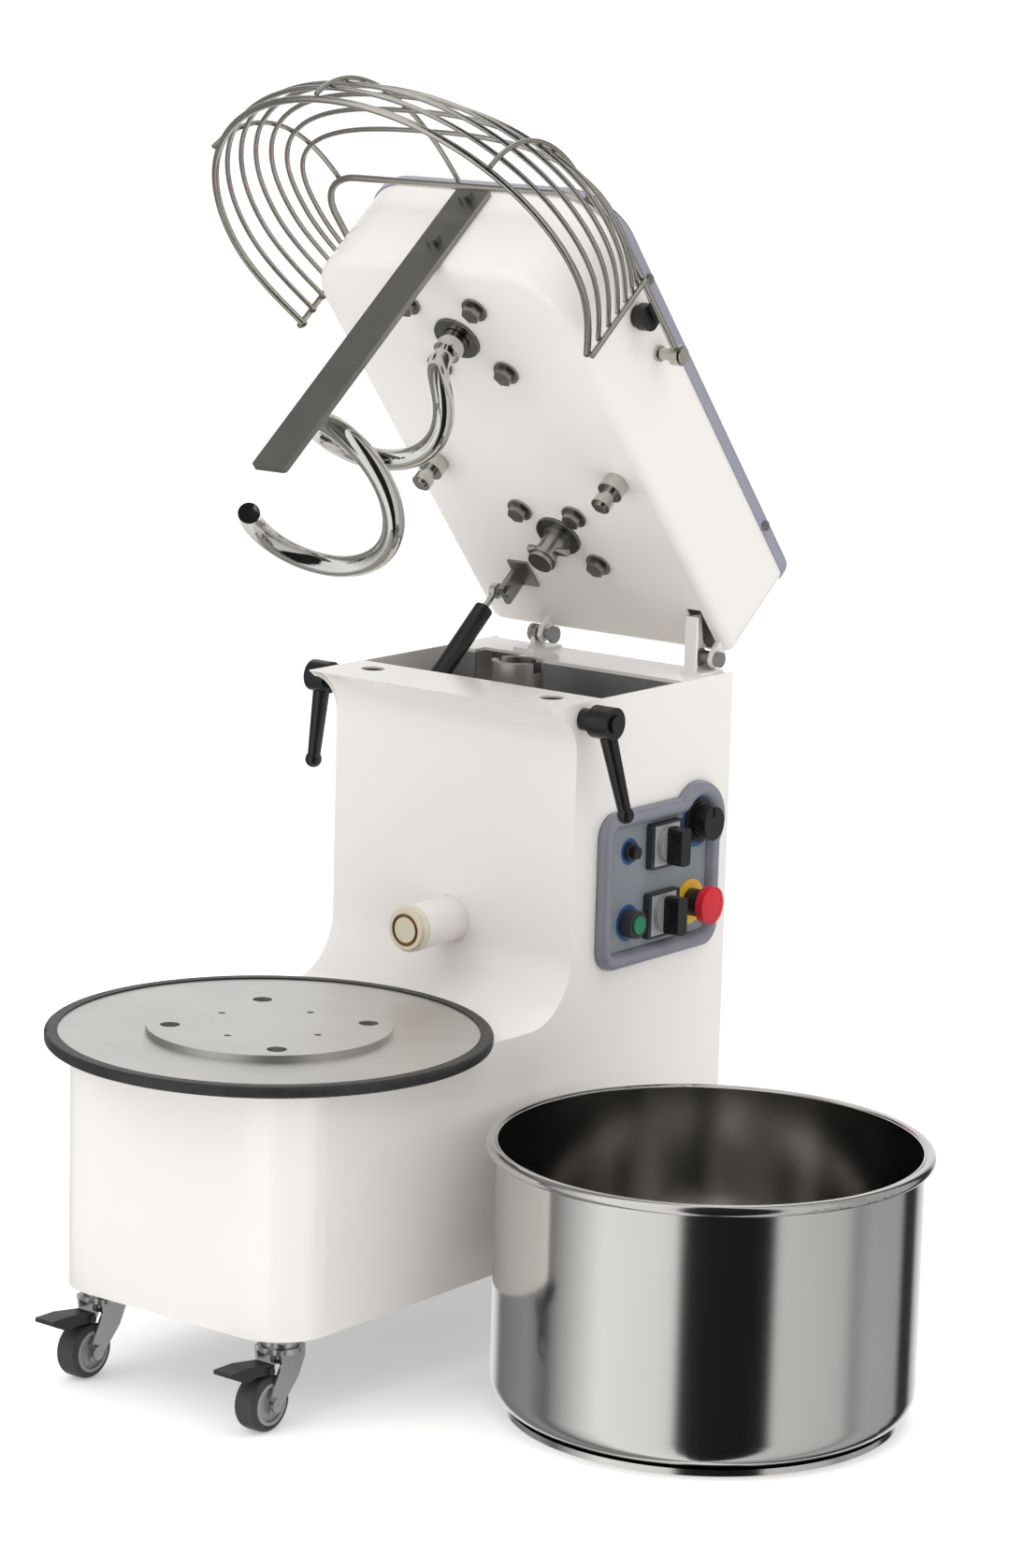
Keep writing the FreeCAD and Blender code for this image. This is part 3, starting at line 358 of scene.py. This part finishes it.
# ---- Guard ------------------------------------------------------------------------------------------------------------------
# Bright drawn wire, spot-welded: hoops, cross ribs and the frame that turns on the head's two pivots.
wire = Finish("drawn_wire", Metallic=1.0)
draw = wire.noise(300, 2)
wire.set(wire.shader, {"Base Color": wire.mix(wire.noise(18, 3), (0.42, 0.40, 0.36), (0.6, 0.58, 0.54)),
                       "Roughness": draw * 0.14 + 0.14})
wire.bump(draw, 0.00003)
cover(wire, "guard_hoops", "guard_frame")

# ---- Spiral hook -----------------------------------------------------------------------------------------------------------
# A thick round stainless bar bent to a spiral and polished.
polish = Finish("polished_bar", Metallic=1.0)
polish.set(polish.shader, {"Base Color": polish.mix(polish.noise(12, 3), (0.6, 0.59, 0.56), (0.72, 0.71, 0.68)),
                           "Roughness": polish.noise(90, 4) * 0.06 + 0.05})
polish.bump(polish.noise(45, 2), 0.0001)
cover(polish, "spiral_hook")

# ---- Turntable ---------------------------------------------------------------------------------------------------------------
# A turned aluminium plate with fine rings, a raised centre disc and a black rubber edge pressed round it.
low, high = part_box("turntable_disc")
turning = Finish("turned_aluminium", Metallic=1.0)
radius = axis_of(turning, ((low[0] + high[0]) / 2, (low[1] + high[1]) / 2, 0), (1, 1, 0))
rings = turning.node("ShaderNodeTexNoise", {"noise_dimensions": "1D"}, {"W": radius, "Scale": 1500, "Detail": 2})
turning.set(turning.shader, {"Base Color": turning.mix(turning.noise(14, 4), (0.60, 0.585, 0.565), (0.72, 0.71, 0.69)),
                             "Roughness": rings * 0.2 + turning.noise(60, 3) * 0.1 + 0.26})
turning.bump(rings, 0.00004)
cover(turning, "turntable_disc")
rubber = Finish("black_rubber", Specular_IOR_Level=0.4)
rubber.set(rubber.shader, {"Base Color": rubber.mix(rubber.noise(60, 4), (0.012, 0.012, 0.012), (0.035, 0.035, 0.034)),
                           "Roughness": rubber.noise(200) * 0.2 + 0.35})
rubber.bump(rubber.noise(1500, 2), 0.00003)
cover(rubber, "turntable_edge")

# ---- Bowl ----------------------------------------------------------------------------------------------------------------------
# Spun stainless steel, brushed round and round and polished, with a rolled rim and a foot ring.
low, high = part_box("bowl_shell")
steel = Finish("spun_stainless", Metallic=1.0, Anisotropic=0.45, Anisotropic_Rotation=0.0)
bowl_axis = ((low[0] + high[0]) / 2, (low[1] + high[1]) / 2, 0)
brushing = steel.noise(1.0, 2, steel.place((20, 20, 2600), bowl_axis))
steel.set(steel.shader, {"Base Color": steel.mix(steel.noise(6, 3), (0.60, 0.585, 0.565), (0.68, 0.665, 0.645)),
                         "Roughness": brushing * 0.08 + 0.085})
steel.bump(brushing, 0.000008)
cover(steel, "bowl_shell", "bowl_foot")


# ---- Black mouldings ------------------------------------------------------------------------------------------------------
# Glass-filled nylon with a fine moulded grain: clamp handles, switch and timer knobs, cable gland and the
# guard's stop. The gas spring's tube is painted black up to the bright neck and eye.
def moulded(name, dark, light, rough, grain=0.00003):
    plastic = Finish(name)
    plastic.set(plastic.shader, {"Base Color": plastic.mix(plastic.noise(70, 3), dark, light),
                                 "Roughness": plastic.noise(260, 2) * 0.14 + rough})
    plastic.bump(plastic.noise(2600, 2), grain)
    return plastic


black = moulded("black_nylon", (0.004, 0.004, 0.0045), (0.009, 0.009, 0.010), 0.22)
cover(black, "clamp_lever_left", "clamp_lever_right", "timer_knob", "black_button", "cable_gland",
      "guard_stop")
low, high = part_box("gas_spring_cylinder")
tube = Finish("gas_spring_paint")
eye_end = axis_of(tube, ((low[0] + high[0]) / 2, high[1] - 0.008, high[2] - 0.008)) < 0.024
tube.set(tube.shader, {"Base Color": tube.mix(eye_end, tube.mix(tube.noise(80), (0.008, 0.008, 0.008),
                                              (0.018, 0.018, 0.018)), (0.6, 0.6, 0.59)),
                       "Metallic": eye_end * 0.9, "Roughness": tube.noise(300) * 0.12 + 0.16})
cover(tube, "gas_spring_cylinder")
ease(0.0012, "clamp_lever_left", "clamp_lever_right", "cam_switch_upper", "cam_switch_lower", "timer_knob",
     "guard_stop")

# ---- Control panel --------------------------------------------------------------------------------------------------------
# A moulded lavender-grey bezel, half round in section, frames a blue-grey printed plate. The bezel bulges
# round the timer at its upper rear corner. Switch plates carry silver scales; the stop button sits on a
# black neck over a yellow disc.
low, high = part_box("control_bezel")
wall_x, front_y, rear_y, foot_z, top_z = low[0], low[1], high[1], low[2], high[2]
lobe = 0.041
lobe_y, lobe_z = rear_y - lobe, top_z - lobe
edge_y, edge_z = rear_y - 0.008, top_z - 0.013      # the plain part's rear and upper edges
corner = 0.024
path = []


def sweep_arc(cy, cz, radius, start, end, inward=1):
    """Adds points of an arc with the direction towards the plate's middle at each."""
    steps = max(3, int(abs(end - start) / 7))
    for i in range(steps + 1):
        a = radians(start + (end - start) * i / steps)
        path.append(((cy + radius * cos(a), cz + radius * sin(a)), (-inward * cos(a), -inward * sin(a))))


def fan(y, z, start, end):
    """Turns the inward direction at one point, where the outline has an inside corner."""
    for i in range(6):
        a = radians(start + (end - start) * i / 5)
        path.append(((y, z), (cos(a), sin(a))))


rear_meet = degrees(acos((edge_y - lobe_y) / lobe))
top_meet = degrees(asin((edge_z - lobe_z) / lobe))
sweep_arc(front_y + corner, foot_z + corner, corner, 180, 270)
sweep_arc(edge_y - corner, foot_z + corner, corner, 270, 360)
fan(edge_y, lobe_z - lobe * sin(radians(rear_meet)), 180, 180 - rear_meet)
sweep_arc(lobe_y, lobe_z, lobe, -rear_meet, 180 - top_meet)
fan(lobe_y - lobe * cos(radians(top_meet)), edge_z, -top_meet, -90)
sweep_arc(front_y + corner, edge_z - corner, corner, 90, 180)
section = ((0, 0), (0, 0.0030), (0.0006, 0.0065), (0.0022, 0.0096), (0.0048, 0.0114), (0.0080, 0.0120),
           (0.0112, 0.0115), (0.0140, 0.0094), (0.0160, 0.0062), (0.0168, 0.0030), (0.0170, 0.0004))
bezel_shape = bmesh.new()
rows = [[bezel_shape.verts.new((wall_x + rise, y + ny * inset, z + nz * inset)) for inset, rise in section]
        for (y, z), (ny, nz) in path]
for row, following in zip(rows, rows[1:] + rows[:1]):
    for k in range(len(section)):
        nxt = (k + 1) % len(section)
        bezel_shape.faces.new((row[k], row[nxt], following[nxt], following[k]))
bmesh.ops.remove_doubles(bezel_shape, verts=bezel_shape.verts, dist=1e-6)
bmesh.ops.recalc_face_normals(bezel_shape, faces=bezel_shape.faces)
bezel_mesh = bpy.data.meshes.new("panel_bezel")
bezel_shape.to_mesh(bezel_mesh)
bezel_shape.free()
bezel_mesh.shade_smooth()
bezel = bpy.data.objects.new("panel_bezel", bezel_mesh)
bpy.context.collection.objects.link(bezel)
grey = moulded("grey_bezel_plastic", (0.20, 0.205, 0.245), (0.23, 0.235, 0.275), 0.12, 0.00001)
bezel_mesh.materials.append(grey.material)
cover(grey, "control_bezel")
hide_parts("control_bezel")
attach(bezel, "machine")


def middle(node):
    low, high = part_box(node)
    return (low + high) / 2


film = Finish("blue_grey_film")
patches = 0
for button, reach in (("black_button", 0.0135), ("green_button", 0.0185), ("timer_knob", 0.0265)):
    patches = (axis_of(film, middle(button), (0, 1, 1)) < reach) + patches
film.set(film.shader, {"Base Color": film.mix(patches, film.mix(film.noise(14, 2), (0.19, 0.22, 0.245),
                                              (0.24, 0.27, 0.29)), (0.02, 0.075, 0.24)),
                       "Roughness": film.noise(200) * 0.1 + 0.3})
film.bump(film.noise(1800, 2), 0.00001)
cover(film, "control_plate")
scales = Finish("switch_plate_plastic")
silver = 0
for switch in ("cam_switch_upper", "cam_switch_lower"):
    across, up = (scales.node("ShaderNodeMath", {"operation": "ABSOLUTE"}, {0: coordinate(scales, axis) - place})
                  for axis, place in zip("YZ", middle(switch)[1:]))
    square = scales.node("ShaderNodeMath", {"operation": "MAXIMUM"}, {0: across, 1: up})
    silver = (square < 0.0205) + silver
scales.set(scales.shader, {"Base Color": scales.mix(silver, scales.mix(scales.noise(70, 3), (0.02, 0.021, 0.024),
                                                    (0.035, 0.037, 0.041)), (0.33, 0.335, 0.35)),
                           "Roughness": scales.noise(260, 2) * 0.14 + 0.3})
scales.bump(scales.noise(2600, 2), 0.00002)
cover(scales, "control_escutcheons")
grip = Finish("switch_grip_on_silver_dial")
dial = coordinate(grip, "X") < wall_x + 0.0156
grip.set(grip.shader, {"Base Color": grip.mix(dial, grip.mix(grip.noise(70, 3), (0.004, 0.004, 0.0045),
                                              (0.009, 0.009, 0.010)), (0.30, 0.305, 0.32)),
                       "Roughness": grip.noise(260, 2) * 0.12 + 0.22})
grip.bump(grip.noise(2600, 2), 0.00002)
cover(grip, "cam_switch_upper", "cam_switch_lower")
cover(moulded("green_plastic", (0.0, 0.16, 0.07), (0.01, 0.22, 0.10), 0.2), "green_button")
cover(moulded("red_plastic", (0.56, 0.012, 0.025), (0.68, 0.02, 0.035), 0.18), "stop_button")
collar = Finish("yellow_disc_black_neck")
neck = coordinate(collar, "X") > wall_x + 0.0052
collar.set(collar.shader, {"Base Color": collar.mix(neck, collar.mix(collar.noise(70, 3), (0.80, 0.42, 0.02),
                                                    (0.88, 0.5, 0.03)), (0.015, 0.015, 0.016)),
                           "Roughness": collar.noise(260, 2) * 0.14 + 0.26})
collar.bump(collar.noise(2600, 2), 0.00003)
cover(collar, "stop_collar")
ease(0.0012, "control_escutcheons", "green_button")

# ---- Bumper nose -------------------------------------------------------------------------------------------------------
# A turned ivory nylon plug in the end of the white bumper tube, with an amber rubber ring let into its
# face and a second one round its waist.
nose_low, nose_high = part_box("bumper_nose")
ivory = Finish("ivory_nylon_amber_ring")
from_axis = axis_of(ivory, middle("bumper_nose"), (1, 0, 1))
depth = coordinate(ivory, "Y") - nose_low[1]
amber = (from_axis > 0.0127) * (from_axis < 0.0163) * (depth < 0.0045) + (depth > 0.0111) * (depth < 0.0124)
ivory.set(ivory.shader, {"Base Color": ivory.mix(amber, ivory.mix(ivory.noise(60, 3), (0.66, 0.59, 0.45),
                                                 (0.76, 0.70, 0.57)), (0.30, 0.17, 0.05)),
                         "Roughness": ivory.noise(300) * 0.12 + 0.3})
ivory.bump(ivory.noise(1800, 2), 0.00003)
cover(ivory, "bumper_nose")
ease(0.0008, "bumper_nose", "bumper_tube")

# ---- Castors and gas spring rod -------------------------------------------------------------------------------------------
# Zinc-plated pressed forks, black brake pedals, and grey rubber tyres on pale plastic hubs.
plating = Finish("zinc_plating", Metallic=1.0)
plating.set(plating.shader, {"Base Color": plating.mix(plating.noise(50, 4), (0.5, 0.5, 0.5), (0.66, 0.66, 0.67)),
                             "Roughness": plating.noise(200, 3) * 0.2 + 0.2})
plating.bump(plating.noise(400, 3), 0.00005)
corners = ("front_left", "front_right", "rear_left", "rear_right")
cover(plating, "castor_plates", "gas_spring_rod", *("castor_fork_" + c for c in corners))
ease(0.0006, *("castor_fork_" + c for c in corners))
cover(moulded("pedal_black", (0.012, 0.012, 0.013), (0.03, 0.03, 0.032), 0.4), "brake_pedal_front_left",
      "brake_pedal_front_right")
hub_radius = 0.0202
for c in corners:
    tread = Finish("tread_" + c)
    hub = axis_of(tread, middle("castor_wheel_" + c), (0, 1, 1)) < hub_radius
    tread.set(tread.shader, {"Base Color": tread.mix(hub, tread.mix(tread.noise(90, 4), (0.03, 0.031, 0.034),
                                                     (0.055, 0.057, 0.06)), (0.30, 0.305, 0.31)),
                             "Roughness": tread.noise(260) * 0.2 + 0.42})
    tread.bump(tread.noise(1400, 2), 0.00005)
    cover(tread, "castor_wheel_" + c)
